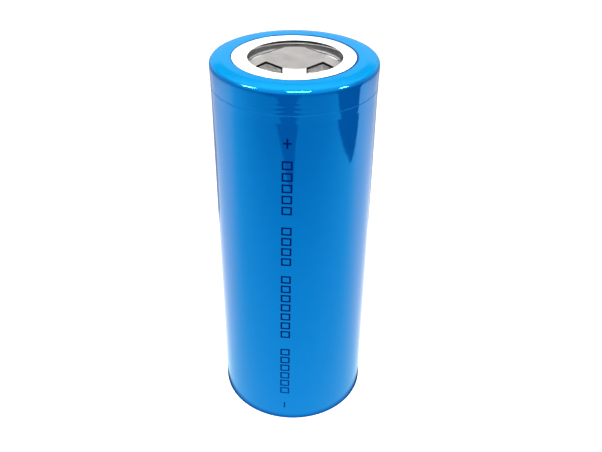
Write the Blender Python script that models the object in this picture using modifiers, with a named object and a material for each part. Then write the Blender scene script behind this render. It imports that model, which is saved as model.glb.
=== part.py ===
"""Flat-top cylindrical lithium-ion cell, modelled as the pieces it is assembled from.

The cell stands on its negative end with its positive end up.  The origin is the centre of the
face it rests on, and +Z runs along its axis.  Sizes are in millimetres and are scaled to metres
where a mesh or a location is made.
"""

import math

import bmesh
import bpy

MM = 0.001

# Driving dimensions of the whole cell
CELL_RADIUS = 13.1               # over the sleeve, below the bead
SHOULDER_RADIUS = 13.2           # over the sleeve, round the crimped rim
CELL_HEIGHT = 66.0
SLEEVE_WALL = 0.1
CAN_WALL = 0.3
GAP = 0.03                       # clearance between pieces that touch
CUTTER_MARGIN = 0.5              # how far a cutter reaches past what it cuts

# How finely round pieces are divided
TURNED_STEPS = 36
CORNER_STEPS = 3
WINDOW_ARC_STEPS = 4
HOLE_SIDES = 12

# Shrink sleeve
SLEEVE_TOP_LIP_RADIUS = 9.8
SLEEVE_FLAT_RADIUS = 11.4        # where its top starts to fall away
SLEEVE_BOTTOM_LIP_RADIUS = 10.6
SLEEVE_SHOULDER_HEIGHT = 65.83
SLEEVE_SHOULDER_CORNER = 0.75
SLEEVE_OVER_BEAD = ((13.17, 63.8), (13.12, 62.5), (CELL_RADIUS, 61.9))
BOTTOM_CORNER = 0.9

# White insulating washer under the sleeve's top lip
WASHER_HOLE_RADIUS = 7.44
WASHER_RADIUS = 11.3
WASHER_THICKNESS = 0.12
WASHER_TOP = CELL_HEIGHT - SLEEVE_WALL - GAP

# Steel can
CAN_RADIUS = CELL_RADIUS - SLEEVE_WALL - GAP
CAN_BOTTOM = SLEEVE_WALL + GAP
CAN_FLOOR = CAN_BOTTOM + CAN_WALL
NECK_RADIUS = CAN_RADIUS
CRIMP_OUTLINE = ((9.5, 65.1), (10.3, 65.52), (11.0, 65.70), (11.7, 65.72))
CAN_SHOULDER_CORNER = 0.55
CAN_SHOULDER_HEIGHT = 65.65
BEAD_OUTLINE = (
    (NECK_RADIUS, 63.6),
    (NECK_RADIUS - 0.2, 63.32),
    (11.95, 63.22),
    (11.5, 62.95),
    (11.35, 62.6),
    (11.5, 62.25),
    (11.95, 61.98),
    (CAN_RADIUS - 0.25, 61.9),
    (CAN_RADIUS, 61.65),
)
SCORE_RADIUS = 8.8               # coined ring in the can's bottom
SCORE_WIDTH = 0.3
SCORE_DEPTH = 0.1

# Header: the stack of pieces crimped between the bead and the can's folded rim
HEADER_RADIUS = 12.32
HEADER_SEAT = 63.88              # underside of the vent disc
VENT_THICKNESS = 0.2
VENT_SCORE_RADIUS = 5.45
VENT_SCORE_CLEARANCE = 0.05
PTC_THICKNESS = 0.18
PTC_HOLE_RADIUS = 7.6
PTC_SEAT = HEADER_SEAT + VENT_THICKNESS + GAP
CAP_WALL = 0.24
CAP_SEAT = PTC_SEAT + PTC_THICKNESS + GAP
CAP_TOP = 65.72
CAP_FLAT_RADIUS = 4.7
CAP_FOOT_RADIUS = 7.0
CAP_BEND = 0.15                  # how far each of its bends reaches along the sheet
LEG_HALF_WIDTH = 2.0
WINDOW_CHORD_DISTANCE = 4.5
WINDOW_OUTER_RADIUS = 7.57
GASKET_RADIUS = NECK_RADIUS - CAN_WALL - GAP
GASKET_WALL = 0.28
GASKET_FLOOR_RADIUS = 10.2
GASKET_LIP_RADIUS = 9.3
GASKET_FLOOR_THICKNESS = 0.2
GASKET_UNDER_CRIMP = (
    (GASKET_LIP_RADIUS, 64.76),
    (9.62, 64.79),
    (10.42, 65.19),
    (11.03, 65.35),
    (11.7, 65.37),
    (12.40, 65.30),
    (12.58, 65.22),
    (GASKET_RADIUS, 65.05),
)
VENT_DISH = (                    # heights above the underside of the vent disc
    (0.0, -0.32),
    (1.2, -0.32),
    (2.6, -0.16),
    (4.4, VENT_THICKNESS),
)
VENT_DISH_UNDERSIDE = ((4.5, 0.0), (2.7, -0.38), (1.4, -0.46))
VENT_BOSS_RADIUS = 1.1

# Current interrupt plate below the vent disc
PLATE_RADIUS = 9.37
PLATE_TOP = 63.24
PLATE_BOTTOM = 62.85
PLATE_HOLE_RADIUS = 0.9
PLATE_HOLE_PITCH_RADIUS = 5.2
PLATE_HOLE_COUNT = 6
PLATE_HOLDER_RADIUS = 10.1
PLATE_HOLDER_HOLE_RADIUS = 6.2
PLATE_HOLDER_LEDGE = 0.6         # how far it reaches under the plate
PLATE_HOLDER_LEDGE_WALL = 0.22

# Wound electrodes: each layer's name and thickness, from the inside of one turn outwards
ROLL_LAYERS = (
    ("separator_inner", 0.15),
    ("anode_coating_inner", 0.30),
    ("anode_foil", 0.15),
    ("anode_coating_outer", 0.30),
    ("separator_outer", 0.15),
    ("cathode_coating_inner", 0.30),
    ("cathode_foil", 0.15),
    ("cathode_coating_outer", 0.30),
)
LAYER_GAP = 0.035
ROLL_CORE_RADIUS = 1.9
ROLL_TURNS = 4
FACETS_PER_TURN = 20
ROLL_PITCH = sum(thickness + LAYER_GAP for _, thickness in ROLL_LAYERS)
SEPARATOR_SPAN = (1.3, 59.9)     # bottom and top heights
ANODE_SPAN = (1.9, 59.3)
CATHODE_SPAN = (2.6, 58.6)
TAPE_RADIUS = 12.42
TAPE_THICKNESS = 0.08
TAPE_SPAN = (18.0, 44.0)

# Tabs: flat strips welded to a bare facet of each foil, both counted from the roll's core
TAB_WIDTH = 3.0
TAB_THICKNESS = 0.12
POSITIVE_TAB_FACET = 60          # three full turns out, facing +X
NEGATIVE_TAB_FACET = 70          # half a turn further, facing -X
POSITIVE_TAB_FOOT = 44.0         # lowest point of the positive tab, inside the roll
NEGATIVE_TAB_HEAD = 14.0         # highest point of the negative tab, inside the roll
TAB_FOLD_X = -2.2                # where the positive tab turns back towards its weld
TAB_FOLD_REACH = 0.55
TAB_RUN_HEIGHT = 61.71
POSITIVE_TAB_END = 3.0
NEGATIVE_TAB_END = 1.6
TAB_BEND = 0.4
TAB_SLOT_LENGTH = 3.8
TAB_SLOT_WIDTH = 1.0
TAB_WRAP_CLEARANCE = 0.08
TAB_WRAP_WALL = 0.1
TAB_WRAP_SPAN = (60.0, 60.8)

# Insulating discs at the two ends of the roll
INSULATOR_RADIUS = 12.2
INSULATOR_THICKNESS = 0.3
UPPER_INSULATOR_BOTTOM = 60.95
UPPER_INSULATOR_HOLE_RADIUS = 2.0
LOWER_INSULATOR_BOTTOM = 0.66
LOWER_INSULATOR_HOLE_RADIUS = 2.5

# Colour, roughness and metallic value of each material
MATERIALS = {
    "blue_film": ((0.00, 0.20, 0.62), 0.30, 0.0),
    "white_board": ((0.88, 0.88, 0.86), 0.60, 0.0),
    "nickel_plated_steel": ((0.55, 0.54, 0.52), 0.35, 1.0),
    "gasket_plastic": ((0.75, 0.75, 0.72), 0.50, 0.0),
    "ptc_compound": ((0.10, 0.10, 0.11), 0.60, 0.0),
    "aluminium": ((0.78, 0.78, 0.79), 0.35, 1.0),
    "insulator_plastic": ((0.80, 0.78, 0.70), 0.60, 0.0),
    "copper": ((0.72, 0.36, 0.20), 0.35, 1.0),
    "graphite_coating": ((0.04, 0.04, 0.045), 0.80, 0.0),
    "oxide_coating": ((0.07, 0.06, 0.06), 0.85, 0.0),
    "separator_film": ((0.86, 0.87, 0.88), 0.50, 0.0),
    "polyimide_tape": ((0.55, 0.28, 0.04), 0.40, 0.0),
    "blue_tape": ((0.10, 0.35, 0.60), 0.45, 0.0),
    "nickel": ((0.62, 0.60, 0.56), 0.35, 1.0),
}


# Scene, collections and materials

def clear_scene():
    """Remove whatever objects the file opens with."""
    for obj in list(bpy.data.objects):
        bpy.data.objects.remove(obj)


def new_collection(name):
    collection = bpy.data.collections.new(name)
    bpy.context.scene.collection.children.link(collection)
    return collection


def new_material(name):
    """Make one Principled material from its row in MATERIALS."""
    colour, roughness, metallic = MATERIALS[name]
    material = bpy.data.materials.new(name)
    material.use_nodes = True
    shader = material.node_tree.nodes["Principled BSDF"]
    shader.inputs["Base Color"].default_value = (*colour, 1.0)
    shader.inputs["Roughness"].default_value = roughness
    shader.inputs["Metallic"].default_value = metallic
    return material


def add_object(name, data, material_name):
    """Put mesh or curve data into the scene as one named piece of the cell."""
    obj = bpy.data.objects.new(name, data)
    obj.data.materials.append(material_of[material_name])
    parts.objects.link(obj)
    return obj


# Turned shapes

def arc(centre, radius, start, end, steps):
    """Points along an arc in the radius-height plane, with angles in degrees."""
    angles = [math.radians(start + (end - start) * i / steps) for i in range(steps + 1)]
    return [(centre[0] + radius * math.cos(a), centre[1] + radius * math.sin(a)) for a in angles]


def ring_profile(inner, outer, bottom, top):
    """Closed rectangular section of a flat ring or a tube."""
    return [(inner, top), (outer, top), (outer, bottom), (inner, bottom)]


def profile_mesh(name, points, closed):
    """A chain of edges in the XZ plane: the section that a Screw modifier turns."""
    corners = [(radius * MM, 0.0, height * MM) for radius, height in points]
    edges = [(i, i + 1) for i in range(len(points) - 1)]
    if closed:
        edges.append((len(points) - 1, 0))
    mesh = bpy.data.meshes.new(name)
    mesh.from_pydata(corners, edges, [])
    return mesh


def add_screw(obj):
    """Turn the object's section round its own Z axis."""
    screw = obj.modifiers.new("Turn", "SCREW")
    screw.steps = TURNED_STEPS
    screw.render_steps = TURNED_STEPS
    screw.use_merge_vertices = True
    screw.merge_threshold = 0.00001


def add_solidify(obj, thickness, offset):
    """Give an open surface its sheet thickness."""
    solidify = obj.modifiers.new("Sheet", "SOLIDIFY")
    solidify.thickness = thickness * MM
    solidify.offset = offset
    solidify.use_even_offset = True


def turned_piece(name, points, material_name, closed=True, height=0.0):
    """A solid of revolution from a section that runs down its outer side."""
    obj = add_object(name, profile_mesh(name, points, closed), material_name)
    obj.location.z = height * MM
    add_screw(obj)
    return obj


def turned_sheet(name, points, wall, material_name):
    """A pressed or shrunk shell: an outer outline turned, then thickened inwards."""
    obj = turned_piece(name, points, material_name, closed=False)
    add_solidify(obj, wall, -1.0)
    return obj


# Strips, outlines and cutters

def ribbon_curve(name, points, height):
    """An upright ribbon along a chain of (x, y) points, centred on the XY plane."""
    curve = bpy.data.curves.new(name, "CURVE")
    curve.dimensions = "2D"
    curve.fill_mode = "NONE"
    curve.extrude = height * MM / 2
    spline = curve.splines.new("POLY")
    spline.points.add(len(points) - 1)
    for point, (x, y) in zip(spline.points, points):
        point.co = (x * MM, y * MM, 0.0, 1.0)
    return curve


def add_wound_layer(name, run, thickness, span, material_name):
    """One layer of the roll: an upright ribbon between two heights."""
    bottom, top = span
    ribbon = mesh_from_curve(name, ribbon_curve(name, run, top - bottom))
    obj = add_object(name, ribbon, material_name)
    obj.location.z = (bottom + top) / 2 * MM
    add_solidify(obj, thickness, 0.0)
    return obj


def add_tab(name, side_path, material_name):
    """A flat metal strip bent along a path of (x, z) points in the XZ plane."""
    obj = add_object(name, ribbon_curve(name, side_path, TAB_WIDTH), material_name)
    obj.rotation_euler.x = math.radians(90)
    add_solidify(obj, TAB_THICKNESS, 0.0)
    return obj


def mesh_from_curve(name, curve):
    """The surface of a curve as a mesh, with its loose seams welded."""
    guide = bpy.data.objects.new(name, curve)
    cutters.objects.link(guide)
    bpy.context.view_layer.update()
    graph = bpy.context.evaluated_depsgraph_get()
    mesh = bpy.data.meshes.new_from_object(guide.evaluated_get(graph))
    bpy.data.objects.remove(guide)
    work = bmesh.new()
    work.from_mesh(mesh)
    bmesh.ops.remove_doubles(work, verts=work.verts, dist=GAP * MM / 10)
    bmesh.ops.recalc_face_normals(work, faces=work.faces)
    work.to_mesh(mesh)
    work.free()
    return mesh


def outline_cutter(name, outline, bottom, top):
    """A closed cutter with a flat outline, extruded between two heights."""
    curve = ribbon_curve(name, outline, top - bottom)
    curve.fill_mode = "BOTH"
    curve.splines[0].use_cyclic_u = True
    cutter = add_cutter(name, mesh_from_curve(name, curve))
    cutter.location.z = (bottom + top) / 2 * MM
    return cutter


def add_cutter(name, mesh, place=None):
    """Keep a cutter out of sight, in the cutters' own collection."""
    cutter = bpy.data.objects.new(name, mesh)
    if place is not None:
        cutter.matrix_world = place
    cutter.hide_render = True
    cutter.display_type = "WIRE"
    cutters.objects.link(cutter)
    return cutter


def cut(obj, cutter):
    """Subtract a cutter from a piece."""
    boolean = obj.modifiers.new(cutter.name, "BOOLEAN")
    boolean.operation = "DIFFERENCE"
    boolean.object = cutter


def box_outline(centre_x, length_x, length_y):
    """A rectangle centred on the X axis."""
    half_x = length_x / 2
    half_y = length_y / 2
    return [
        (centre_x - half_x, -half_y),
        (centre_x + half_x, -half_y),
        (centre_x + half_x, half_y),
        (centre_x - half_x, half_y),
    ]


# Casing: sleeve, washer, can and gasket

def make_sleeve():
    """Heat-shrunk film round the can, folded over both ends."""
    shoulder_centre = (
        SHOULDER_RADIUS - SLEEVE_SHOULDER_CORNER,
        SLEEVE_SHOULDER_HEIGHT - SLEEVE_SHOULDER_CORNER,
    )
    bottom_centre = (CELL_RADIUS - BOTTOM_CORNER, BOTTOM_CORNER)
    lip = [(SLEEVE_TOP_LIP_RADIUS, CELL_HEIGHT), (SLEEVE_FLAT_RADIUS, CELL_HEIGHT)]
    shoulder = arc(shoulder_centre, SLEEVE_SHOULDER_CORNER, 90, 0, CORNER_STEPS)
    bottom = arc(bottom_centre, BOTTOM_CORNER, 0, -90, CORNER_STEPS)
    bottom_lip = [(SLEEVE_BOTTOM_LIP_RADIUS, 0.0)]
    outline = lip + shoulder + list(SLEEVE_OVER_BEAD) + bottom + bottom_lip
    return turned_sheet("shrink_sleeve", outline, SLEEVE_WALL, "blue_film")


def make_washer():
    """White ring that keeps the positive contact apart from the can's rim."""
    section = ring_profile(WASHER_HOLE_RADIUS, WASHER_RADIUS, -WASHER_THICKNESS, 0.0)
    return turned_piece("top_insulator_washer", section, "white_board", height=WASHER_TOP)


def make_can():
    """Deep-drawn can with its crimped rim, bead groove and a coined ring in the bottom."""
    shoulder_centre = (
        NECK_RADIUS - CAN_SHOULDER_CORNER,
        CAN_SHOULDER_HEIGHT - CAN_SHOULDER_CORNER,
    )
    shoulder = arc(shoulder_centre, CAN_SHOULDER_CORNER, 90, 0, CORNER_STEPS)
    corner_radius = BOTTOM_CORNER - CAN_BOTTOM
    corner = arc((CELL_RADIUS - BOTTOM_CORNER, BOTTOM_CORNER), corner_radius, 0, -90, CORNER_STEPS)
    outline = list(CRIMP_OUTLINE) + shoulder + list(BEAD_OUTLINE) + corner + [(0.0, CAN_BOTTOM)]
    can = turned_sheet("steel_can", outline, CAN_WALL, "nickel_plated_steel")
    inner = SCORE_RADIUS - SCORE_WIDTH / 2
    outer = SCORE_RADIUS + SCORE_WIDTH / 2
    below = CAN_BOTTOM - CUTTER_MARGIN
    section = ring_profile(inner, outer, below, CAN_BOTTOM + SCORE_DEPTH)
    score = add_cutter("bottom_score_cutter", profile_mesh("bottom_score_cutter", section, True))
    add_screw(score)
    cut(can, score)
    return can


def make_gasket():
    """Plastic seal that wraps the header's edge inside the crimped neck."""
    floor_bottom = HEADER_SEAT - GAP - GASKET_FLOOR_THICKNESS
    floor_top = HEADER_SEAT - GAP
    inside = GASKET_RADIUS - GASKET_WALL
    lip_bottom = CAP_SEAT + CAP_WALL + GAP
    bevel = GASKET_FLOOR_THICKNESS / 2
    outside = [(GASKET_RADIUS, floor_bottom + bevel), (GASKET_RADIUS - bevel / 2, floor_bottom)]
    floor = [(GASKET_FLOOR_RADIUS, floor_bottom), (GASKET_FLOOR_RADIUS, floor_top)]
    pocket = [(inside, floor_top), (inside, lip_bottom), (GASKET_LIP_RADIUS, lip_bottom)]
    section = list(GASKET_UNDER_CRIMP) + outside + floor + pocket
    return turned_piece("crimp_gasket", section, "gasket_plastic")


# Header: cap, PTC ring, vent disc, interrupt plate and its holder

def window_outline(turn):
    """One vent window between two legs of the cap, turned by a number of quarter turns."""
    chord_sum = WINDOW_CHORD_DISTANCE * math.sqrt(2)
    chord = [
        (LEG_HALF_WIDTH, chord_sum - LEG_HALF_WIDTH),
        (chord_sum - LEG_HALF_WIDTH, LEG_HALF_WIDTH),
    ]
    edge_angle = math.degrees(math.asin(LEG_HALF_WIDTH / WINDOW_OUTER_RADIUS))
    rim = arc((0.0, 0.0), WINDOW_OUTER_RADIUS, edge_angle, 90 - edge_angle, WINDOW_ARC_STEPS)
    quarter = math.radians(90 * turn)
    cosine = math.cos(quarter)
    sine = math.sin(quarter)
    return [(x * cosine - y * sine, x * sine + y * cosine) for x, y in chord + rim]


def make_cap():
    """Pressed positive contact: a flat disc on four legs that stand on a flange."""
    flange_top = CAP_SEAT + CAP_WALL
    outline = [
        (0.0, CAP_TOP),
        (CAP_FLAT_RADIUS - CAP_BEND, CAP_TOP),
        (CAP_FLAT_RADIUS + CAP_BEND, CAP_TOP - CAP_BEND / 1.5),
        (CAP_FOOT_RADIUS - CAP_BEND, flange_top + CAP_BEND / 1.5),
        (CAP_FOOT_RADIUS + CAP_BEND, flange_top),
        (HEADER_RADIUS, flange_top),
    ]
    cap = turned_sheet("positive_cap", outline, CAP_WALL, "nickel_plated_steel")
    for turn in range(4):
        name = f"cap_window_cutter_{turn + 1}"
        bottom = CAP_SEAT - CUTTER_MARGIN
        cut(cap, outline_cutter(name, window_outline(turn), bottom, CAP_TOP + CUTTER_MARGIN))
    return cap


def make_ptc_ring():
    """Resettable fuse ring between the cap and the vent disc."""
    section = ring_profile(PTC_HOLE_RADIUS, HEADER_RADIUS, 0.0, PTC_THICKNESS)
    return turned_piece("ptc_ring", section, "ptc_compound", height=PTC_SEAT)


def make_vent_disc():
    """Vent disc, split at its score line into the clamped rim and the dished middle."""
    section = ring_profile(VENT_SCORE_RADIUS, HEADER_RADIUS, 0.0, VENT_THICKNESS)
    turned_piece("vent_disc_rim", section, "aluminium", height=HEADER_SEAT)
    edge = VENT_SCORE_RADIUS - VENT_SCORE_CLEARANCE
    weld = PLATE_TOP + GAP - HEADER_SEAT
    rim = [(edge, VENT_THICKNESS), (edge, 0.0)]
    boss = [(VENT_BOSS_RADIUS, weld), (0.0, weld)]
    dish = list(VENT_DISH) + rim + list(VENT_DISH_UNDERSIDE) + boss
    turned_piece("vent_disc_dome", dish, "aluminium", closed=False, height=HEADER_SEAT)


def make_plate_holder():
    """Plastic ring that hangs the interrupt plate below the vent disc."""
    top = HEADER_SEAT - GAP
    pocket_top = PLATE_TOP + GAP
    pocket_bottom = PLATE_BOTTOM - GAP
    ledge_bottom = pocket_bottom - PLATE_HOLDER_LEDGE_WALL
    pocket_radius = PLATE_RADIUS + GAP
    section = [
        (PLATE_HOLDER_HOLE_RADIUS, top),
        (PLATE_HOLDER_RADIUS, top),
        (PLATE_HOLDER_RADIUS, ledge_bottom),
        (PLATE_RADIUS - PLATE_HOLDER_LEDGE, ledge_bottom),
        (PLATE_RADIUS - PLATE_HOLDER_LEDGE, pocket_bottom),
        (pocket_radius, pocket_bottom),
        (pocket_radius, pocket_top),
        (PLATE_HOLDER_HOLE_RADIUS, pocket_top),
    ]
    return turned_piece("interrupt_plate_holder", section, "insulator_plastic")


def make_interrupt_plate():
    """Perforated aluminium plate that carries the current to the vent disc's middle."""
    section = [
        (0.0, PLATE_TOP),
        (PLATE_RADIUS, PLATE_TOP),
        (PLATE_RADIUS, PLATE_BOTTOM),
        (0.0, PLATE_BOTTOM),
    ]
    plate = turned_piece("interrupt_plate", section, "aluminium", closed=False)
    for number in range(PLATE_HOLE_COUNT):
        angle = math.tau * number / PLATE_HOLE_COUNT
        name = f"plate_hole_cutter_{number + 1}"
        bpy.ops.mesh.primitive_cylinder_add(
            vertices=HOLE_SIDES,
            radius=PLATE_HOLE_RADIUS * MM,
            depth=(PLATE_TOP - PLATE_BOTTOM + 2 * CUTTER_MARGIN) * MM,
            location=(
                PLATE_HOLE_PITCH_RADIUS * math.cos(angle) * MM,
                PLATE_HOLE_PITCH_RADIUS * math.sin(angle) * MM,
                (PLATE_TOP + PLATE_BOTTOM) / 2 * MM,
            ),
        )
        primitive = bpy.context.object
        cut(plate, add_cutter(name, primitive.data, primitive.matrix_world.copy()))
        bpy.data.objects.remove(primitive)
    return plate


# Wound roll

def layer_radius(name, facet):
    """Distance of a layer's middle from the axis at a corner of the wound polygon."""
    inner = ROLL_CORE_RADIUS + ROLL_PITCH * facet / FACETS_PER_TURN
    for layer, thickness in ROLL_LAYERS:
        if layer == name:
            return inner + thickness / 2
        inner += thickness + LAYER_GAP
    return inner


def facet_angle(facet):
    """Direction of a corner of the wound polygon; the corner before facet 0 is half a step back."""
    return math.tau * (facet - 0.5) / FACETS_PER_TURN


def wound_run(name):
    """Corners of one layer, from the roll's core to its outer end."""
    run = []
    for facet in range(ROLL_TURNS * FACETS_PER_TURN + 1):
        radius = layer_radius(name, facet)
        angle = facet_angle(facet)
        run.append((radius * math.cos(angle), radius * math.sin(angle)))
    return run


def make_roll(positive_x, negative_x):
    """Separators, foils and coatings wound together, with a bare patch where each tab lies."""
    bare_patch = {
        "cathode_coating_outer": (
            positive_x,
            POSITIVE_TAB_FOOT - CUTTER_MARGIN,
            CATHODE_SPAN[1] + CUTTER_MARGIN,
        ),
        "anode_coating_outer": (
            -negative_x,
            ANODE_SPAN[0] - CUTTER_MARGIN,
            NEGATIVE_TAB_HEAD + CUTTER_MARGIN,
        ),
    }
    span_of = {"separator": SEPARATOR_SPAN, "anode": ANODE_SPAN, "cathode": CATHODE_SPAN}
    material_names = {
        "separator_inner": "separator_film",
        "separator_outer": "separator_film",
        "anode_foil": "copper",
        "cathode_foil": "aluminium",
        "anode_coating_inner": "graphite_coating",
        "anode_coating_outer": "graphite_coating",
        "cathode_coating_inner": "oxide_coating",
        "cathode_coating_outer": "oxide_coating",
    }
    for name, thickness in ROLL_LAYERS:
        span = span_of[name.split("_")[0]]
        layer = add_wound_layer(name, wound_run(name), thickness, span, material_names[name])
        if name in bare_patch:
            centre_x, bottom, top = bare_patch[name]
            outline = box_outline(centre_x, TAB_SLOT_WIDTH, TAB_SLOT_LENGTH)
            cut(layer, outline_cutter(f"{name}_patch_cutter", outline, bottom, top))


def make_roll_tape():
    """Tape that closes the outside of the roll."""
    section = ring_profile(TAPE_RADIUS, TAPE_RADIUS + TAPE_THICKNESS, *TAPE_SPAN)
    return turned_piece("roll_tape", section, "blue_tape")


# Tabs and the insulators at the roll's ends

def tab_distance(foil_name, facet):
    """Distance from the axis to the middle of a tab that lies on its foil's bare facet."""
    half_step = math.pi / FACETS_PER_TURN
    corner = (layer_radius(foil_name, facet) + layer_radius(foil_name, facet + 1)) / 2
    thickness = dict(ROLL_LAYERS)
    coating_name = foil_name.replace("foil", "coating_outer")
    room = thickness[coating_name] + 2 * LAYER_GAP
    return corner * math.cos(half_step) + thickness[foil_name] / 2 + room / 2


def make_positive_tab(distance):
    """Aluminium strip from the cathode foil, folded once and welded under the plate."""
    weld_height = PLATE_BOTTOM - GAP - TAB_THICKNESS / 2
    fold_radius = (weld_height - TAB_RUN_HEIGHT) / 2
    corner = fold_radius * math.sin(math.radians(45))
    path = [
        (distance, POSITIVE_TAB_FOOT),
        (distance, TAB_RUN_HEIGHT - TAB_BEND),
        (distance - TAB_BEND / 3, TAB_RUN_HEIGHT - TAB_BEND / 3),
        (distance - TAB_BEND, TAB_RUN_HEIGHT),
        (TAB_FOLD_X, TAB_RUN_HEIGHT),
        (TAB_FOLD_X - corner, TAB_RUN_HEIGHT + fold_radius - corner),
        (TAB_FOLD_X - TAB_FOLD_REACH, TAB_RUN_HEIGHT + fold_radius),
        (TAB_FOLD_X - corner, weld_height - fold_radius + corner),
        (TAB_FOLD_X, weld_height),
        (POSITIVE_TAB_END, weld_height),
    ]
    return add_tab("positive_tab", path, "aluminium")


def make_negative_tab(distance):
    """Nickel strip from the anode foil, turned under the roll and welded to the can's floor."""
    weld_height = CAN_FLOOR + GAP + TAB_THICKNESS / 2
    path = [
        (-distance, NEGATIVE_TAB_HEAD),
        (-distance, weld_height + TAB_BEND),
        (-distance + TAB_BEND / 3, weld_height + TAB_BEND / 3),
        (-distance + TAB_BEND, weld_height),
        (NEGATIVE_TAB_END, weld_height),
    ]
    return add_tab("negative_tab", path, "nickel")


def make_tab_wrap(distance):
    """Insulating tape wrapped round the positive tab where it leaves the roll."""
    half_x = TAB_THICKNESS / 2 + TAB_WRAP_CLEARANCE
    half_y = TAB_WIDTH / 2 + TAB_WRAP_CLEARANCE
    bottom, top = TAB_WRAP_SPAN
    outline = box_outline(distance, 2 * half_x, 2 * half_y)
    curve = ribbon_curve("positive_tab_tape", outline, top - bottom)
    curve.splines[0].use_cyclic_u = True
    obj = add_object("positive_tab_tape", curve, "polyimide_tape")
    obj.location.z = (bottom + top) / 2 * MM
    add_solidify(obj, TAB_WRAP_WALL, 1.0)
    return obj


def make_end_insulator(name, bottom, hole_radius, slot_x):
    """Disc with a hole for the core and a slot that the tab passes through."""
    section = ring_profile(hole_radius, INSULATOR_RADIUS, 0.0, INSULATOR_THICKNESS)
    insulator = turned_piece(name, section, "insulator_plastic", height=bottom)
    outline = box_outline(slot_x, TAB_SLOT_WIDTH, TAB_SLOT_LENGTH)
    above = bottom + INSULATOR_THICKNESS + CUTTER_MARGIN
    slot = outline_cutter(f"{name}_slot_cutter", outline, bottom - CUTTER_MARGIN, above)
    cut(insulator, slot)
    return insulator


clear_scene()
parts = new_collection("cylindrical_battery_cell")
cutters = new_collection("cutters")
material_of = {name: new_material(name) for name in MATERIALS}

make_sleeve()
make_washer()
make_can()
make_gasket()
make_cap()
make_ptc_ring()
make_vent_disc()
make_plate_holder()
make_interrupt_plate()

positive_tab_x = tab_distance("cathode_foil", POSITIVE_TAB_FACET)
negative_tab_x = tab_distance("anode_foil", NEGATIVE_TAB_FACET)
make_roll(positive_tab_x, negative_tab_x)
make_roll_tape()
make_positive_tab(positive_tab_x)
make_negative_tab(negative_tab_x)
make_tab_wrap(positive_tab_x)
make_end_insulator(
    "upper_insulator", UPPER_INSULATOR_BOTTOM, UPPER_INSULATOR_HOLE_RADIUS, positive_tab_x
)
make_end_insulator(
    "lower_insulator", LOWER_INSULATOR_BOTTOM, LOWER_INSULATOR_HOLE_RADIUS, -negative_tab_x
)
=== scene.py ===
"""Looks of a flat-top cylindrical lithium-ion cell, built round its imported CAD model.

Lengths are in millimetres, and are scaled to metres where a mesh, a light or the camera is made.
Heights are measured up the cell's axis from the face it stands on, and angles go round that axis.
"""

import math

import bpy
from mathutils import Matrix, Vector


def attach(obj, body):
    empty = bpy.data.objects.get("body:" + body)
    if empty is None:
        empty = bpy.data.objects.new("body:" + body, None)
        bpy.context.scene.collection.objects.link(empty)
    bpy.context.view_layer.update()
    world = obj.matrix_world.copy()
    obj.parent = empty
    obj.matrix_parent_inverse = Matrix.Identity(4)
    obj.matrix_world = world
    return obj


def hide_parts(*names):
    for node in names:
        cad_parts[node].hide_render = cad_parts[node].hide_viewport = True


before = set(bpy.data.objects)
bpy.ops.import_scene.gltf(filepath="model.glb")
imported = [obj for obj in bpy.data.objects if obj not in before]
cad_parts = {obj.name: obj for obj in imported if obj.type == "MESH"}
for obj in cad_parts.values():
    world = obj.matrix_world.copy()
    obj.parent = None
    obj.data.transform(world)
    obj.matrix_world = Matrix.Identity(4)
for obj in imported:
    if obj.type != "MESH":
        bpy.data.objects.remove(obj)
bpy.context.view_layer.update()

MM = 0.001

# How finely round pieces are divided
TURN_STEPS = 240
FILLET_STEPS = 6
SHARP_EDGE = math.radians(32)

# Shrink film
CELL_HEIGHT = 66.0
FILM_RADIUS = 13.085             # a hair inside the CAD sleeve, to leave room for the ink
SHOULDER_RADIUS = 13.2
FILM_WALL = 0.1
FILM_UPPER_LIP = 9.66
FILM_LOWER_LIP = 10.6
FILM_FLAT_RADIUS = 11.4          # where the film's top starts to fall away
SHOULDER_TOP = 65.73
SHOULDER_FOOT = 64.8
CREASE_HEIGHT = 61.92            # of the fold below the bead groove
FILM_FOOT_RADIUS = 0.55
GATHERS = (60.8, 64.6)           # heights between which the film is slightly gathered
GATHER_DEPTH = 0.011
GATHER_PITCH = 0.75

# Washer and can
WASHER_HOLE = 7.44
WASHER_RADIUS = 11.3
WASHER_TOP = 65.87
WASHER_THICKNESS = 0.12
CAN_BOTTOM = 0.13
CAN_RADIUS = 12.97
CAN_WALL = 0.3
CAN_RIM_TOP = 65.72
BEAD_HEIGHT = 62.6
BEAD_RADIUS = 11.35
BEAD_HALF_HEIGHT = 0.62
COINED_RADIUS = 8.8              # of the ring pressed into the can's bottom
COINED_HALF_WIDTH = 0.15
COINED_DEPTH = 0.1

# Header: the stack of round pieces that the can's rim clamps
HEADER_RADIUS = 12.32
VENT_BOTTOM = 63.88
VENT_TOP = 64.08
VENT_SCORE_RADIUS = 5.45
PTC_BOTTOM = 64.11
PTC_TOP = 64.29
PTC_HOLE = 7.6
CAP_SEAT = 64.32
CAP_TOP = 65.72
CAP_WALL = 0.24
CAP_FLAT_RADIUS = 4.75
CAP_FOOT_RADIUS = 6.95
LEG_HALF_WIDTH = 2.0
WINDOW_CHORD = 4.5               # distance from the axis to a window's straight edge
WINDOW_RIM = 7.57
GASKET_RADIUS = 12.64
GASKET_FLOOR_RADIUS = 10.2
GASKET_LIP_RADIUS = 9.3
GASKET_BOTTOM = 63.65
GASKET_FLOOR = 63.85
GASKET_LIP_BOTTOM = 64.59
GASKET_SHADE_HEIGHT = 64.72           # painted shade: the gasket is black above this height, in the washer's shadow

# Brightness of the studio's surroundings
DOME_LIGHT = 0.7                 # overhead
FRONT_LIGHT = 1.2                # before the cell
HORIZON_LIGHT = 0.06             # behind it
BACKDROP_LIGHT = 0.5             # near the floor, all round
WHITE_BACKDROP = 1.1             # where the camera sees it

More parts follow.
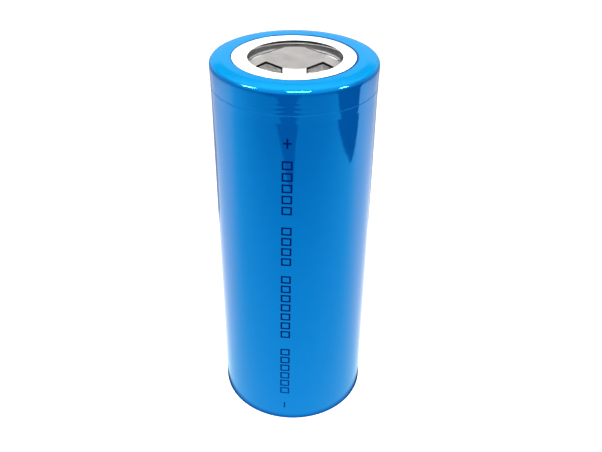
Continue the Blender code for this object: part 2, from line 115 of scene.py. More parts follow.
# Lights: the soft one overhead, then small lamps that show only as highlights, each with its
# name, azimuth, elevation, width and height
SOFT_PLACE = (0, 60, 700)
SOFT_SIZE = 700
SOFT_WATTS = 10.0
LAMP_DISTANCE = 600
LAMP_WATTS_PER_AREA = 0.0007
LAMPS = (
    ("lamp_front", -82, 53, 250, 90),
    ("lamp_left", -162, 41, 150, 80),
    ("lamp_right", -20, 28, 110, 80),
)

# Brightness of the table as the film reflects it: before the cell, beside it and behind it
TABLE_FRONT = 0.6
TABLE_SIDES = 1.6
TABLE_BACK = 1.2
FLOOR_HALF_WIDTH = 1500

# Camera
CAMERA_PLACE = (0.0, -110.519, 107.007)
CAMERA_AIM = (1.28, 0.0, 34.693)
CAMERA_ROLL = math.radians(0.653)
LENS = 44.70

# Dark and grey cards on the table that show only in reflections: painted reflections of shade on the
# table before, beside and behind the cell. Name, outline and brightness
CARD_HEIGHT = 0.4
CARDS = (
    ("front_card", ((-8, -91), (-30, -112), (-52, -126), (-100, -125), (-200, -180),
                    (-80, -420), (80, -420), (24, -158), (4, -122), (-1, -98)), 0.0),
    ("right_card", ((103, -13), (107, -36), (114, -66), (130, -92), (300, -200),
                    (500, 120), (160, 20), (127, 9), (111, -2)), 0.0),
    ("back_card", ((-44, 52), (-64, 82), (-75, 150), (-100, 500), (180, 500),
                   (70, 130), (50, 85), (30, 52)), 0.5),
)

# Line of print: the angles and heights of its two ends, and the sizes of its marks
PRINT_ANGLE_TOP = -94.3
PRINT_ANGLE_BOTTOM = -96.8
PRINT_TOP = 57.5
PRINT_BOTTOM = 3.7
PRINT_WIDTH = 1.65
STROKE = 0.27                    # width of a printed line
BOX_LENGTH = 1.5
PLUS_WIDTH = 1.25
MINUS_WIDTH = 1.32
INK_THICKNESS = 0.01

# Rows of boxes in the line of print: upper end, lower end and number of boxes
PRINT_GROUPS = ((54.6, 45.2, 5), (42.9, 35.5, 4), (33.4, 20.1, 7), (17.5, 6.7, 6))


# Sections and meshes

def rounded(corners, closed=True):
    """Points of a chain of (x, y, radius) corners, each turned into an arc of that radius."""
    points = []
    count = len(corners)
    for i, (x, y, radius) in enumerate(corners):
        is_end = not closed and i in (0, count - 1)
        if radius == 0 or is_end:
            points.append((x, y))
            continue
        here = Vector((x, y))
        back = (Vector(corners[i - 1][:2]) - here).normalized()
        ahead = (Vector(corners[(i + 1) % count][:2]) - here).normalized()
        half = back.angle(ahead) / 2
        centre = here + (back + ahead).normalized() * radius / math.sin(half)
        start = here + back * radius / math.tan(half) - centre
        end = here + ahead * radius / math.tan(half) - centre
        first = math.atan2(start.y, start.x)
        sweep = (math.atan2(end.y, end.x) - first + math.pi) % math.tau - math.pi
        for step in range(FILLET_STEPS + 1):
            angle = first + sweep * step / FILLET_STEPS
            points.append((centre.x + radius * math.cos(angle), centre.y + radius * math.sin(angle)))
    return points


def finer(path, longest, low, high):
    """The same path with its segments between two heights split into short ones."""
    points = [path[0]]
    for (r0, z0), (r1, z1) in zip(path, path[1:]):
        inside = low <= min(z0, z1) and max(z0, z1) <= high
        pieces = max(1, math.ceil(math.hypot(r1 - r0, z1 - z0) / longest)) if inside else 1
        for i in range(1, pieces + 1):
            points.append((r0 + (r1 - r0) * i / pieces, z0 + (z1 - z0) * i / pieces))
    return points


def sheet_section(path, wall):
    """Closed section of a sheet: its outline, and back along a copy one wall inside it."""
    inner = []
    last = len(path) - 1
    for i, point in enumerate(path):
        here = Vector(point)
        before = (here - Vector(path[i - 1])).normalized() if i > 0 else None
        after = (Vector(path[i + 1]) - here).normalized() if i < last else None
        before = before or after
        after = after or before
        along = (before + after).normalized()
        inward = Vector((along.y, -along.x))
        reach = wall / max(0.5, along.dot(after))
        moved = here + inward * reach
        inner.append((max(0.0, moved.x), moved.y))
    return path + inner[::-1]


def new_object(name, mesh, material):
    """Put a mesh into the scene with one material and smooth shading between sharp edges."""
    mesh.shade_smooth()
    mesh.set_sharp_from_angle(angle=SHARP_EDGE)
    mesh.materials.append(material)
    obj = bpy.data.objects.new(name, mesh)
    bpy.context.scene.collection.objects.link(obj)
    return obj


def turned_mesh(name, section, steps=TURN_STEPS, shift=None):
    """A closed section, running down its outer side, turned once round the axis.

    shift(angle, radius, height) gives how far each point is moved outwards.
    """
    corners = []
    rings = []
    for radius, height in section:
        if radius == 0:
            rings.append([len(corners)] * steps)
            corners.append((0.0, 0.0, height * MM))
            continue
        ring = []
        for step in range(steps):
            angle = math.tau * step / steps
            out = radius + (shift(angle, radius, height) if shift else 0.0)
            ring.append(len(corners))
            corners.append((out * math.cos(angle) * MM, out * math.sin(angle) * MM, height * MM))
        rings.append(ring)
    faces = []
    for ring, below in zip(rings, rings[1:] + rings[:1]):
        for step in range(steps):
            after = (step + 1) % steps
            face = [ring[step], below[step], below[after], ring[after]]
            face = list(dict.fromkeys(face))
            if len(face) > 2:
                faces.append(face)
    mesh = bpy.data.meshes.new(name)
    mesh.from_pydata(corners, [], faces)
    return mesh


def turned_object(name, section, material, steps=TURN_STEPS, shift=None):
    """A piece made by turning a closed section round the axis."""
    return new_object(name, turned_mesh(name, section, steps, shift), material)


def prism_mesh(name, outline, bottom, top):
    """An upright prism on an outline that runs anticlockwise."""
    count = len(outline)
    corners = [(x * MM, y * MM, z * MM) for z in (bottom, top) for x, y in outline]
    faces = [list(range(count))[::-1], list(range(count, 2 * count))]
    for i in range(count):
        after = (i + 1) % count
        faces.append([i, after, count + after, count + i])
    mesh = bpy.data.meshes.new(name)
    mesh.from_pydata(corners, [], faces)
    return mesh


def cut_away(obj, cutters):
    """Subtract meshes from a piece and keep only the result."""
    helpers = []
    for mesh in cutters:
        helper = bpy.data.objects.new(mesh.name, mesh)
        bpy.context.scene.collection.objects.link(helper)
        boolean = obj.modifiers.new(mesh.name, "BOOLEAN")
        boolean.operation = "DIFFERENCE"
        boolean.object = helper
        helpers.append(helper)
    keep_modifiers(obj)
    for helper in helpers:
        bpy.data.objects.remove(helper)


def keep_modifiers(obj):
    """Write what the modifiers make into the piece's own mesh."""
    bpy.context.view_layer.update()
    graph = bpy.context.evaluated_depsgraph_get()
    mesh = bpy.data.meshes.new_from_object(obj.evaluated_get(graph))
    obj.modifiers.clear()
    obj.data = mesh


def soften_edges(obj, width, segments=2):
    """Round a piece's sharp edges."""
    bevel = obj.modifiers.new("Soft edges", "BEVEL")
    bevel.width = width * MM
    bevel.segments = segments
    bevel.limit_method = "ANGLE"
    bevel.angle_limit = SHARP_EDGE
    bevel.use_clamp_overlap = True
    keep_modifiers(obj)
    obj.data.shade_smooth()
    even = obj.modifiers.new("Flat faces stay flat", "WEIGHTED_NORMAL")
    even.weight = 100
    keep_modifiers(obj)


# Materials

class Recipe:
    """A material under construction: a Principled shader and the nodes that feed it."""

    def __init__(self, name, roughness, metallic=0.0):
        self.material = bpy.data.materials.new(name)
        self.material.use_nodes = True
        self.tree = self.material.node_tree
        self.shader = self.tree.nodes["Principled BSDF"]
        self.shader.inputs["Roughness"].default_value = roughness
        self.shader.inputs["Metallic"].default_value = metallic
        coordinates = self.tree.nodes.new("ShaderNodeTexCoord")
        self.place = self.vector("SCALE", coordinates.outputs["Object"], scale=1 / MM)

    def split(self, vector):
        """The X, Y and Z parts of a vector."""
        node = self.tree.nodes.new("ShaderNodeSeparateXYZ")
        self.plug(node.inputs[0], vector)
        return node.outputs

    def plug(self, socket, value):
        """Give a socket either another node's output or a plain value."""
        if isinstance(value, bpy.types.NodeSocket):
            self.tree.links.new(value, socket)
        else:
            socket.default_value = value

    def feed(self, name, value):
        """Give one of the shader's inputs a node's output or a plain value."""
        self.plug(self.shader.inputs[name], value)

    def vector(self, operation, a, b=None, scale=None):
        """A step of vector arithmetic."""
        node = self.tree.nodes.new("ShaderNodeVectorMath")
        node.operation = operation
        self.plug(node.inputs[0], a)
        if b is not None:
            self.plug(node.inputs[1], b)
        if scale is not None:
            self.plug(node.inputs["Scale"], scale)
        return node.outputs["Value" if operation == "LENGTH" else "Vector"]

    def math(self, operation, a, b=0.0):
        """A step of arithmetic."""
        node = self.tree.nodes.new("ShaderNodeMath")
        node.operation = operation
        self.plug(node.inputs[0], a)
        self.plug(node.inputs[1], b)
        return node.outputs["Value"]

    def noise(self, scale, detail=3.0, roughness=0.5, stretch=(1.0, 1.0, 1.0), place=None):
        """Noise with a number of features per millimetre, stretched along the axes."""
        node = self.tree.nodes.new("ShaderNodeTexNoise")
        node.inputs["Scale"].default_value = scale
        node.inputs["Detail"].default_value = detail
        node.inputs["Roughness"].default_value = roughness
        stretched = self.vector("MULTIPLY", place or self.place, stretch)
        self.plug(node.inputs["Vector"], stretched)
        return node.outputs["Fac"]

    def cells(self, scale):
        """Distance from the nearest of many scattered points, a number of them per millimetre."""
        node = self.tree.nodes.new("ShaderNodeTexVoronoi")
        node.inputs["Scale"].default_value = scale
        self.plug(node.inputs["Vector"], self.place)
        return node.outputs["Distance"]

    def lift(self):
        """How far the surface faces up or down: 0 for an upright face, 1 for a level one."""
        coordinates = self.tree.nodes.new("ShaderNodeTexCoord")
        return self.math("ABSOLUTE", self.split(coordinates.outputs["Normal"])["Z"])

    def height(self):
        """Height up the axis, in millimetres."""
        return self.split(self.place)["Z"]

    def radius(self):
        """Distance from the axis, in millimetres."""
        return self.vector("LENGTH", self.vector("MULTIPLY", self.place, (1.0, 1.0, 0.0)))

    def window_gap(self):
        """Distance of a point on the cap from the straight edges of its nearest vent window."""
        place = self.split(self.place)
        x = self.math("ABSOLUTE", place["X"])
        y = self.math("ABSOLUTE", place["Y"])
        across_leg = self.math("SUBTRACT", LEG_HALF_WIDTH, self.math("MINIMUM", x, y))
        outwards = self.math("DIVIDE", self.math("ADD", x, y), math.sqrt(2))
        across_chord = self.math("SUBTRACT", WINDOW_CHORD, outwards)
        return self.math("MAXIMUM", across_leg, across_chord)

    def polar(self):
        """Coordinates that follow a turned surface: (angle x 10, radius, height)."""
        place = self.split(self.place)
        join = self.tree.nodes.new("ShaderNodeCombineXYZ")
        angle = self.math("ARCTAN2", place["Y"], place["X"])
        self.plug(join.inputs["X"], self.math("MULTIPLY", angle, 10.0))
        self.plug(join.inputs["Y"], self.radius())
        self.plug(join.inputs["Z"], place["Z"])
        return join.outputs["Vector"]

    def spread(self, value, low, high, to_low=0.0, to_high=1.0):
        """Map a value from one range to another, smoothly and clamped."""
        node = self.tree.nodes.new("ShaderNodeMapRange")
        node.interpolation_type = "SMOOTHSTEP"
        for name, number in zip(("Value", "From Min", "From Max"), (value, low, high)):
            self.plug(node.inputs[name], number)
        self.plug(node.inputs["To Min"], to_low)
        self.plug(node.inputs["To Max"], to_high)
        return node.outputs["Result"]

    def vary(self, noise, low=0.0, high=1.0):
        """Spread noise, most of which is between 0.3 and 0.7, over a range."""
        return self.spread(noise, 0.3, 0.7, low, high)

    def blend(self, factor, first, second):
        """A colour between two colours."""
        node = self.tree.nodes.new("ShaderNodeMix")
        node.data_type = "RGBA"
        self.plug(node.inputs["Factor"], factor)
        self.plug(node.inputs["A"], self.colour(first))
        self.plug(node.inputs["B"], self.colour(second))
        return node.outputs["Result"]

    def colour(self, value):
        """A plain colour with full opacity added, or any other value as it is."""
        if isinstance(value, tuple) and len(value) == 3:
            return (*value, 1.0)
        return value

    def bump(self, height, distance, below=None):
        """Relief of a height in millimetres, on top of another relief if one is given."""
        node = self.tree.nodes.new("ShaderNodeBump")
        node.inputs["Strength"].default_value = 1.0
        node.inputs["Distance"].default_value = distance * MM
        self.plug(node.inputs["Height"], height)
        if below is not None:
            self.plug(node.inputs["Normal"], below)
        return node.outputs["Normal"]


def blue_film():
    """Glossy heat-shrunk film: a darker ring at its cut lip, which is painted shade, and a lighter
    top face, partly the white washer showing through and partly painted light.
    """
    film = Recipe("blue_film", roughness=0.1)
    mottled = film.blend(film.noise(0.35, detail=4.0), (0.0, 0.078, 0.325), (0.0, 0.088, 0.36))
    # Lighter top face: partly the white washer behind the film, partly painted light where the top
    # faces the light from above.
    backed_and_lit_top = film.spread(film.height(), CELL_HEIGHT - 0.7, CELL_HEIGHT - 0.2)
    toned = film.blend(backed_and_lit_top, mottled, (0.0, 0.215, 0.50))
    # Painted shade: a dark ring at the film's cut lip, standing for the lip's shadow on the washer.
    painted_lip_shade = film.spread(film.radius(), FILM_UPPER_LIP + 0.14, FILM_UPPER_LIP + 0.3, 1.0, 0.0)
    film.feed("Base Color", film.blend(painted_lip_shade, toned, (0.0, 0.012, 0.12)))
    film.feed("Roughness", film.vary(film.noise(0.8, detail=5.0), 0.05, 0.08))
    drawn = film.noise(1.4, detail=3.0, stretch=(1.0, 0.3, 0.05), place=film.polar())
    peel = film.noise(1.1, detail=2.0)
    relief = film.bump(drawn, 0.0035)
    film.feed("Normal", film.bump(peel, 0.004, below=relief))
    film.shader.inputs["IOR"].default_value = 2.6
    film.shader.inputs["Specular Tint"].default_value = (0.02, 0.5, 1.0, 1.0)
    return film.material


def navy_ink():
    """Jet-printed ink, thinner and paler towards the lower end."""
    ink = Recipe("navy_ink", roughness=0.5)
    worn = ink.spread(ink.height(), 22.0, 4.0)
    speckle = ink.spread(ink.noise(3.0, detail=4.0), 0.35, 0.75)
    thin = ink.math("MULTIPLY", worn, ink.math("ADD", ink.math("MULTIPLY", speckle, 0.5), 0.4))
    ink.feed("Base Color", ink.blend(thin, (0.0, 0.008, 0.09), (0.0, 0.06, 0.28)))
    ink.feed("Normal", ink.bump(ink.noise(4.0), 0.004))
    ink.shader.inputs["Specular IOR Level"].default_value = 0.0
    return ink.material


def white_board():
    """Pressed insulating paper with a faint fibre pattern."""
    board = Recipe("white_board", roughness=0.6)
    fibres = board.noise(2.2, detail=6.0, roughness=0.65)
    board.feed("Base Color", board.blend(fibres, (0.84, 0.84, 0.82), (0.93, 0.93, 0.92)))
    board.feed("Normal", board.bump(fibres, 0.02))
    return board.material


def painted_shade_in_opening(metal, tone):
    """The tone with painted shade: darkened under the washer, and black at the cut edges of the
    cap's windows and in a narrow band beside them.

    Only the metal above the bead groove and inside the can's rim is changed.
    """
    radius = metal.radius()
    high = metal.spread(metal.height(), BEAD_HEIGHT - 2.6, BEAD_HEIGHT - 0.6)
    inside = metal.spread(radius, 10.0, 10.6, 1.0, 0.0)
    hidden = metal.spread(radius, WASHER_HOLE - 0.54, WASHER_HOLE - 0.04)
    # Painted shade: metal under the washer's overhang, the cap's flange and the can's crimped rim,
    # turned grey.
    washer_shade = metal.math("MULTIPLY", metal.math("MULTIPLY", high, inside), hidden)
    tone = metal.blend(washer_shade, tone, (0.22, 0.22, 0.22))
    # Painted shade: black on the upright cut faces of the cap's windows and in a narrow band of the
    # cap beside them.
    upright = metal.spread(metal.lift(), 0.3, 0.6, 1.0, 0.0)
    beside = metal.spread(metal.window_gap(), 0.2, 0.26, 1.0, 0.0)
    edge = metal.math("MAXIMUM", upright, beside)
    within_rim = metal.spread(radius, WINDOW_RIM - 0.22, WINDOW_RIM - 0.07, 1.0, 0.0)
    cut = metal.math("MULTIPLY", edge, metal.math("MULTIPLY", high, within_rim))
    return metal.blend(cut, tone, (0.006, 0.006, 0.006))


def satin_metal(name, dark, light, roughness, grain=0.0012, in_opening=False, metallic=1.0):
    """Rolled and pressed sheet metal: fine grain, faint rings from the draw, cloudy gloss.

    in_opening is for the metal that shows in the opening at the cell's top, on which shade is
    painted: darker under the washer, black at the window edges.
    """
    metal = Recipe(name, roughness, metallic)
    cloud = metal.noise(0.5, detail=5.0)
    speck = metal.noise(4.0, detail=3.0)
    tone = metal.blend(metal.vary(speck), dark, light)
    if in_opening:
        tone = painted_shade_in_opening(metal, tone)
    metal.feed("Base Color", tone)
    metal.feed("Roughness", metal.vary(cloud, roughness - 0.02, roughness + 0.02))
    rings = metal.noise(2.5, detail=3.0, stretch=(0.0, 1.0, 1.0), place=metal.polar())
    relief = metal.bump(rings, grain)
    metal.feed("Normal", metal.bump(speck, grain, below=relief))
    return metal.material


def smooth_plastic(name, dark, light, roughness=0.45, shade_above=None):
    """Moulded plastic with a faint moulding texture, and painted shade, black, above a height if one
    is given.
    """
    plastic = Recipe(name, roughness)
    flow = plastic.noise(0.6, detail=4.0)
    tone = plastic.blend(flow, dark, light)
    if shade_above is not None:
        # Painted shade: black above the height, for the shadow under the washer.
        shade_band = plastic.spread(plastic.height(), shade_above, shade_above + 0.04)
        tone = plastic.blend(shade_band, tone, (0.01, 0.01, 0.01))
    plastic.feed("Base Color", tone)
    plastic.feed("Roughness", plastic.vary(flow, roughness - 0.05, roughness + 0.08))
    plastic.feed("Normal", plastic.bump(plastic.noise(5.0, detail=3.0), 0.004))
    return plastic.material


def coated(name, dark, light):
    """Electrode coating: matt, grainy powder in a binder, with calender streaks."""
    coating = Recipe(name, roughness=0.85)
    grain = coating.noise(9.0, detail=6.0, roughness=0.7)
    streaks = coating.noise(1.0, detail=3.0, stretch=(0.1, 0.1, 1.0))
    coating.feed("Base Color", coating.blend(grain, dark, light))
    coating.feed("Roughness", coating.vary(streaks, 0.78, 0.92))
    coating.feed("Normal", coating.bump(grain, 0.01))
    return coating.material


def film_sheet(name, dark, light, roughness, grain=0.003):
    """Thin plastic film or adhesive tape: soft sheen, and fine lines along its length."""
    film = Recipe(name, roughness)
    lines = film.noise(1.8, detail=4.0, stretch=(1.0, 1.0, 0.08))
    film.feed("Base Color", film.blend(lines, dark, light))
    film.feed("Roughness", film.vary(film.noise(0.9), roughness - 0.05, roughness + 0.1))
    film.feed("Normal", film.bump(lines, grain))
    return film.material


def ptc_compound():
    """Carbon-filled polymer with pressed metal faces: dark grey with bright specks."""
    ring = Recipe("ptc_compound", roughness=0.55)
    specks = ring.spread(ring.cells(6.0), 0.0, 0.25, 1.0, 0.0)
    ring.feed("Base Color", ring.blend(specks, (0.06, 0.06, 0.065), (0.16, 0.16, 0.17)))
    ring.feed("Normal", ring.bump(ring.noise(6.0, detail=4.0), 0.006))
    return ring.material


materials = {
    "blue_film": blue_film(),
    "navy_ink": navy_ink(),
    "white_board": white_board(),
    # Steel of the can and cap, with shade painted on it in the opening at the cell's top
    "nickel_plated_steel": satin_metal(
        "nickel_plated_steel", (0.64, 0.62, 0.60), (0.72, 0.70, 0.68), 0.42, in_opening=True),
    "gasket_plastic": smooth_plastic(
        "gasket_plastic", (0.90, 0.90, 0.88), (0.96, 0.96, 0.95), shade_above=GASKET_SHADE_HEIGHT),
    "ptc_compound": ptc_compound(),
    "aluminium": satin_metal(
        "aluminium", (0.90, 0.90, 0.90), (0.96, 0.96, 0.96), 0.65, metallic=0.4),
    "insulator_plastic": smooth_plastic(
        "insulator_plastic", (0.70, 0.68, 0.60), (0.80, 0.78, 0.70)),
    "copper": satin_metal("copper", (0.62, 0.27, 0.14), (0.78, 0.40, 0.24), 0.33),
    "graphite_coating": coated("graphite_coating", (0.025, 0.025, 0.03), (0.06, 0.06, 0.065)),
    "oxide_coating": coated("oxide_coating", (0.045, 0.04, 0.04), (0.09, 0.08, 0.08)),
    "separator_film": film_sheet("separator_film", (0.80, 0.81, 0.82), (0.90, 0.91, 0.92), 0.45),
    "polyimide_tape": film_sheet("polyimide_tape", (0.42, 0.19, 0.02), (0.60, 0.30, 0.05), 0.3),
    "blue_tape": film_sheet("blue_tape", (0.07, 0.28, 0.50), (0.12, 0.38, 0.64), 0.4),
    "nickel": satin_metal("nickel", (0.55, 0.53, 0.49), (0.70, 0.68, 0.64), 0.34),
}


# Pieces of the cell, from sections whose corners are (radius, height, radius of the rounding)

def film_shift(angle, radius, height):
    """Small unevenness of the shrunk film: wandering lips, and ripples over the bead groove."""
    folded = FILM_WALL + 0.02
    if height > CELL_HEIGHT - folded and radius < FILM_UPPER_LIP + 0.64:
        waves = 0.03 * math.sin(3 * angle + 0.4) + 0.02 * math.sin(7 * angle)
        return waves - 0.1 * math.cos(angle)
    if height < folded and radius < FILM_LOWER_LIP + 0.4:
        return 0.12 * math.sin(2 * angle + 1.0) + 0.06 * math.sin(5 * angle)
    low, high = GATHERS
    if not low < height < high:
        return 0.0
    across = math.sin(math.pi * (height - low) / (high - low)) ** 2
    patch = max(0.0, math.sin(3 * angle)) ** 2 * (0.7 + 0.3 * math.sin(11 * angle))
    ripple = math.sin(math.tau * height / GATHER_PITCH + 2.5 * math.sin(5 * angle))
    return across * patch * GATHER_DEPTH * (ripple - 1.0)


def make_sleeve_film():
    """Shrink film over the whole cell, folded in over both ends, with a crease below the neck."""
    below_crease = CREASE_HEIGHT - 1.32
    corners = [
        (FILM_UPPER_LIP, CELL_HEIGHT, 0.0),
        (FILM_FLAT_RADIUS, CELL_HEIGHT, 3.0),
        (SHOULDER_RADIUS, SHOULDER_TOP, 0.75),
        (SHOULDER_RADIUS, SHOULDER_FOOT, 6.0),
        (FILM_RADIUS + 0.015, CREASE_HEIGHT, 0.1),
        (FILM_RADIUS + 0.045, CREASE_HEIGHT - 0.09, 0.04),
        (FILM_RADIUS, below_crease, 2.0),
        (FILM_RADIUS, 0.0, FILM_FOOT_RADIUS),
        (FILM_LOWER_LIP, 0.0, 0.0),
    ]
    path = rounded(corners, closed=False)
    path = finer(path, longest=0.12, low=below_crease, high=SHOULDER_TOP - 0.43)
    section = sheet_section(path, FILM_WALL)
    return turned_object("sleeve_film", section, materials["blue_film"], shift=film_shift)


def washer_shift(angle, radius, height):
    """The washer's hole is punched a little off its middle."""
    if radius > WASHER_HOLE + 1.0:
        return 0.0
    return 0.1 * math.cos(angle) + 0.22 * math.sin(angle)


def make_washer_board():
    """White ring with softly pressed edges."""
    bottom = WASHER_TOP - WASHER_THICKNESS
    section = rounded([
        (WASHER_HOLE, WASHER_TOP, 0.04),
        (WASHER_RADIUS, WASHER_TOP, 0.04),
        (WASHER_RADIUS, bottom, 0.02),
        (WASHER_HOLE, bottom, 0.02),
    ])
    return turned_object("washer_board", section, materials["white_board"], shift=washer_shift)


def make_can_shell():
    """Drawn can: crimped rim, bead groove, rounded bottom corner and a coined ring below."""
    coined_top = CAN_BOTTOM + COINED_DEPTH
    outside = rounded([
        (9.5, CAN_RIM_TOP - 0.62, 0.0),
        (10.3, CAN_RIM_TOP - 0.2, 1.0),
        (11.0, CAN_RIM_TOP - 0.02, 1.0),
        (CAN_RADIUS, CAN_RIM_TOP, 0.6),
        (CAN_RADIUS, BEAD_HEIGHT + 0.7, 0.25),
        (BEAD_RADIUS, BEAD_HEIGHT + BEAD_HALF_HEIGHT, 0.25),
        (BEAD_RADIUS, BEAD_HEIGHT - BEAD_HALF_HEIGHT, 0.25),
        (CAN_RADIUS, BEAD_HEIGHT - 0.72, 0.2),
        (CAN_RADIUS, CAN_BOTTOM, 0.77),
        (COINED_RADIUS + COINED_HALF_WIDTH, CAN_BOTTOM, 0.03),
        (COINED_RADIUS + COINED_HALF_WIDTH / 2, coined_top, 0.03),
        (COINED_RADIUS - COINED_HALF_WIDTH / 2, coined_top, 0.03),
        (COINED_RADIUS - COINED_HALF_WIDTH, CAN_BOTTOM, 0.03),
        (0.0, CAN_BOTTOM, 0.0),
    ], closed=False)
    above_corner = 1.0
    wall = [(r, z) for r, z in outside if z > above_corner]
    inside = sheet_section(wall, CAN_WALL)[len(wall):]
    floor = CAN_BOTTOM + CAN_WALL
    inner_floor = rounded([
        (CAN_RADIUS - CAN_WALL, 2.0, 0.0),
        (CAN_RADIUS - CAN_WALL, floor, 0.47),
        (0.0, floor, 0.0),
    ], closed=False)
    section = outside + inner_floor[::-1] + inside
    return turned_object("can_shell", section, materials["nickel_plated_steel"])


def make_gasket_seal():
    """Plastic seal under the crimped rim, its lip showing as a thin line inside the washer."""
    header_gap = HEADER_RADIUS + 0.04
    gasket_top = CAN_RIM_TOP - 0.37
    section = rounded([
        (GASKET_LIP_RADIUS, GASKET_LIP_BOTTOM + 0.18, 0.05),
        (GASKET_LIP_RADIUS + 0.32, GASKET_LIP_BOTTOM + 0.2, 0.3),
        (10.42, gasket_top - 0.16, 0.4),
        (11.03, gasket_top, 0.6),
        (GASKET_RADIUS - 0.24, gasket_top, 0.3),
        (GASKET_RADIUS, gasket_top - 0.3, 0.1),
        (GASKET_RADIUS, GASKET_BOTTOM, 0.06),
        (GASKET_FLOOR_RADIUS, GASKET_BOTTOM, 0.03),
        (GASKET_FLOOR_RADIUS, GASKET_FLOOR, 0.03),
        (header_gap, GASKET_FLOOR, 0.03),
        (header_gap, GASKET_LIP_BOTTOM, 0.03),
        (GASKET_LIP_RADIUS, GASKET_LIP_BOTTOM, 0.05),
    ])
    return turned_object("gasket_seal", section, materials["gasket_plastic"])


def window_outline(quarter):
    """One of the cap's four vent windows, turned by a number of quarter turns."""
    chord_end = WINDOW_CHORD * math.sqrt(2) - LEG_HALF_WIDTH
    side = math.asin(LEG_HALF_WIDTH / WINDOW_RIM)
    corners = [
        (LEG_HALF_WIDTH, chord_end, 0.25),
        (chord_end, LEG_HALF_WIDTH, 0.25),
    ]
    rim_steps = 12
    for step in range(rim_steps + 1):
        angle = side + (math.pi / 2 - 2 * side) * step / rim_steps
        at_end = step in (0, rim_steps)
        x = WINDOW_RIM * math.cos(angle)
        y = WINDOW_RIM * math.sin(angle)
        corners.append((x, y, 0.2 if at_end else 0.0))
    turn = math.pi / 2 * quarter
    return [
        (x * math.cos(turn) - y * math.sin(turn), x * math.sin(turn) + y * math.cos(turn))
        for x, y in rounded(corners)
    ]


def make_cap_pressing():
    """Positive contact: a flat disc on four legs, stamped and punched from one sheet."""
    flange = CAP_SEAT + CAP_WALL
    corners = [
        (0.0, CAP_TOP, 0.0),
        (CAP_FLAT_RADIUS - 1.75, CAP_TOP, 0.0),
        (CAP_FLAT_RADIUS, CAP_TOP, 0.3),
        (CAP_FOOT_RADIUS, flange, 0.35),
        (HEADER_RADIUS, flange, 0.0),
    ]
    section = sheet_section(rounded(corners, closed=False), CAP_WALL)
    cap = turned_object("cap_pressing", section, materials["nickel_plated_steel"], steps=120)
    windows = [
        prism_mesh(f"cap_window_{quarter}", window_outline(quarter), CAP_SEAT - 0.5, CAP_TOP + 0.5)
        for quarter in range(4)
    ]
    cut_away(cap, windows)
    soften_edges(cap, 0.03)
    return cap


def make_ptc_wafer():
    """Flat ring between the cap's flange and the vent disc."""
    section = rounded([
        (PTC_HOLE, PTC_TOP, 0.03),
        (HEADER_RADIUS, PTC_TOP, 0.03),
        (HEADER_RADIUS, PTC_BOTTOM, 0.03),
        (PTC_HOLE, PTC_BOTTOM, 0.03),
    ])
    return turned_object("ptc_wafer", section, materials["ptc_compound"])


def make_vent_rim():
    """Clamped outer part of the vent disc, outside its score line."""
    section = rounded([
        (VENT_SCORE_RADIUS, VENT_TOP, 0.02),
        (HEADER_RADIUS, VENT_TOP, 0.03),
        (HEADER_RADIUS, VENT_BOTTOM, 0.03),
        (VENT_SCORE_RADIUS, VENT_BOTTOM, 0.02),
    ])
    return turned_object("vent_rim", section, materials["aluminium"])


def make_vent_dome():
    """Dished middle of the vent disc, with the boss that is welded to the interrupt plate."""
    edge = VENT_SCORE_RADIUS - 0.05
    corners = [
        (0.0, -0.32, 0.0),
        (1.2, -0.32, 0.4),
        (2.6, -0.16, 1.5),
        (4.4, 0.2, 0.6),
        (edge, 0.2, 0.02),
        (edge, 0.0, 0.02),
        (4.5, 0.0, 0.4),
        (2.7, -0.38, 0.8),
        (1.4, -0.46, 0.1),
        (1.1, -0.61, 0.04),
        (0.0, -0.61, 0.0),
    ]
    section = [(r, VENT_BOTTOM + z) for r, z in rounded(corners, closed=False)]
    return turned_object("vent_dome_dish", section, materials["aluminium"])


# Printed marks

def print_angle(height):
    """Direction of the line of print, which leans a little round the cell on its way down."""
    share = (PRINT_TOP - height) / (PRINT_TOP - PRINT_BOTTOM)
    return math.radians(PRINT_ANGLE_TOP + (PRINT_ANGLE_BOTTOM - PRINT_ANGLE_TOP) * share)


def add_patch(corners, faces, offset, height, width, length):
    """Add a raised patch of ink, its middle at an offset across the line of print."""
    steps = 2
    middle = print_angle(height) + offset / FILM_RADIUS
    half = width / 2 / FILM_RADIUS
    first = len(corners)
    for radius in (FILM_RADIUS - INK_THICKNESS, FILM_RADIUS + INK_THICKNESS):
        for z in (height - length / 2, height + length / 2):
            for step in range(steps + 1):
                angle = middle - half + 2 * half * step / steps
                corners.append((
                    radius * math.cos(angle) * MM,
                    radius * math.sin(angle) * MM,
                    z * MM,
                ))
    row = steps + 1
    in_low, in_high, out_low, out_high = (first + row * i for i in range(4))
    for step in range(steps):
        faces.append((out_low + step, out_low + step + 1, out_high + step + 1, out_high + step))
        faces.append((in_low + step + 1, in_low + step, in_high + step, in_high + step + 1))
        faces.append((in_low + step, in_low + step + 1, out_low + step + 1, out_low + step))
        faces.append((in_high + step + 1, in_high + step, out_high + step, out_high + step + 1))
    faces.append((in_low, out_low, out_high, in_high))
    faces.append((in_low + steps, in_high + steps, out_high + steps, out_low + steps))


